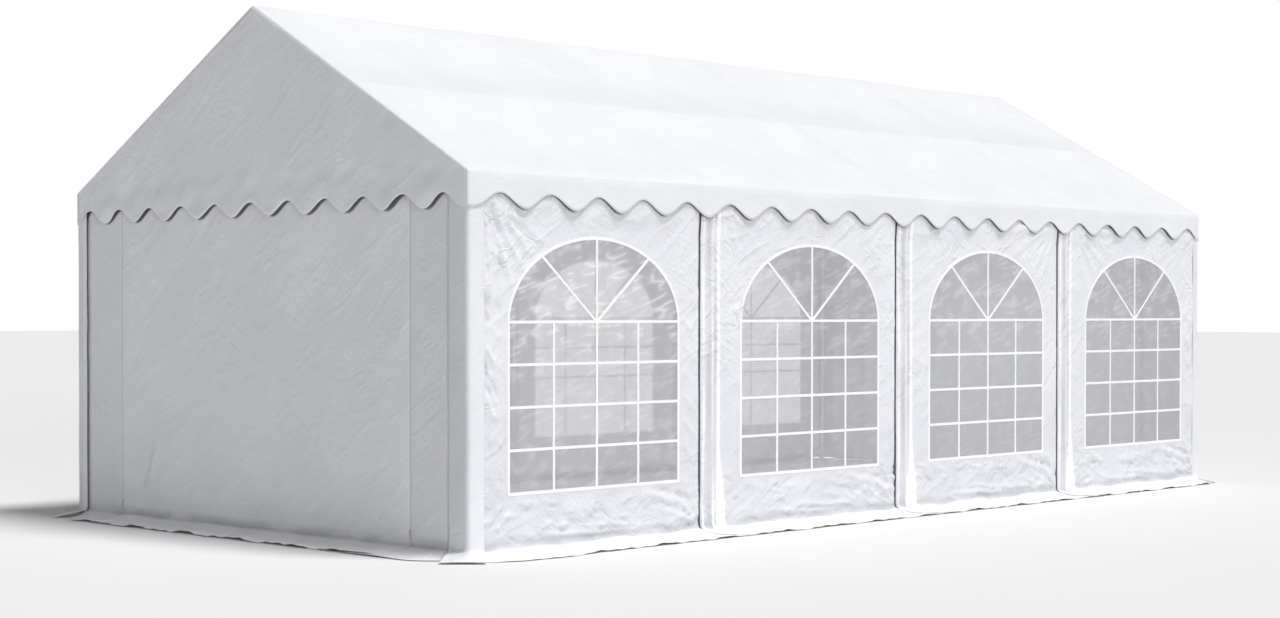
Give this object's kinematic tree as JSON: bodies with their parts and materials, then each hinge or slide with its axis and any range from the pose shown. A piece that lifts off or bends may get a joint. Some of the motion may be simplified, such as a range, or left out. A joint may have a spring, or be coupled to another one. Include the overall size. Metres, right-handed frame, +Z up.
{
  "type": "frame marquee tent",
  "caption": "White frame marquee with a gable roof, scalloped valances, zipped gable doors and long side walls with arched barred windows",
  "frame": {"origin": "on the ground, under the middle of the tent", "axes": "+Z up; X runs along the 8 m side and Y across the 4 m gables; -Y is the front long side and -X the left gable"},
  "size_m": [8.4, 4.4, 3.2999],
  "materials": {
    "cover_cloth": "coated cloth, smooth with a soft sheen",
    "wall_cloth": "coated cloth, finely creased, soft sheen",
    "window_film": "clear soft film, glossy and a little wavy",
    "steel_tube": "galvanised, dull grey with a faint spangle"
  },
  "bodies": {
    "root": {"rafter_pair_1": "steel_tube", "rafter_pair_2": "steel_tube", "rafter_pair_3": "steel_tube", "rafter_pair_4": "steel_tube", "rafter_pair_5": "steel_tube", "front_post_1": "steel_tube", "front_post_2": "steel_tube", "front_post_3": "steel_tube", "front_post_4": "steel_tube", "front_post_5": "steel_tube", "rear_post_1": "steel_tube", "rear_post_2": "steel_tube", "rear_post_3": "steel_tube", "rear_post_4": "steel_tube", "rear_post_5": "steel_tube", "front_eave_purlin": "steel_tube", "front_middle_purlin": "steel_tube", "ridge_purlin": "steel_tube", "rear_middle_purlin": "steel_tube", "rear_eave_purlin": "steel_tube", "front_roof_slope": "cover_cloth", "rear_roof_slope": "cover_cloth", "front_valance": "cover_cloth", "rear_valance": "cover_cloth", "left_gable": "cover_cloth", "right_gable": "cover_cloth", "front_wall_1": "wall_cloth", "front_wall_2": "wall_cloth", "front_wall_3": "wall_cloth", "front_wall_4": "wall_cloth", "rear_wall_1": "wall_cloth", "rear_wall_2": "wall_cloth", "rear_wall_3": "wall_cloth", "rear_wall_4": "wall_cloth", "left_door_panel": "wall_cloth", "right_door_panel": "wall_cloth", "front_left_corner_panel": "wall_cloth", "front_right_corner_panel": "wall_cloth", "rear_left_corner_panel": "wall_cloth", "rear_right_corner_panel": "wall_cloth", "front_window_1": "window_film", "front_window_2": "window_film", "front_window_3": "window_film", "front_window_4": "window_film", "rear_window_1": "window_film", "rear_window_2": "window_film", "rear_window_3": "window_film", "rear_window_4": "window_film"}
  },
  "joints": []
}
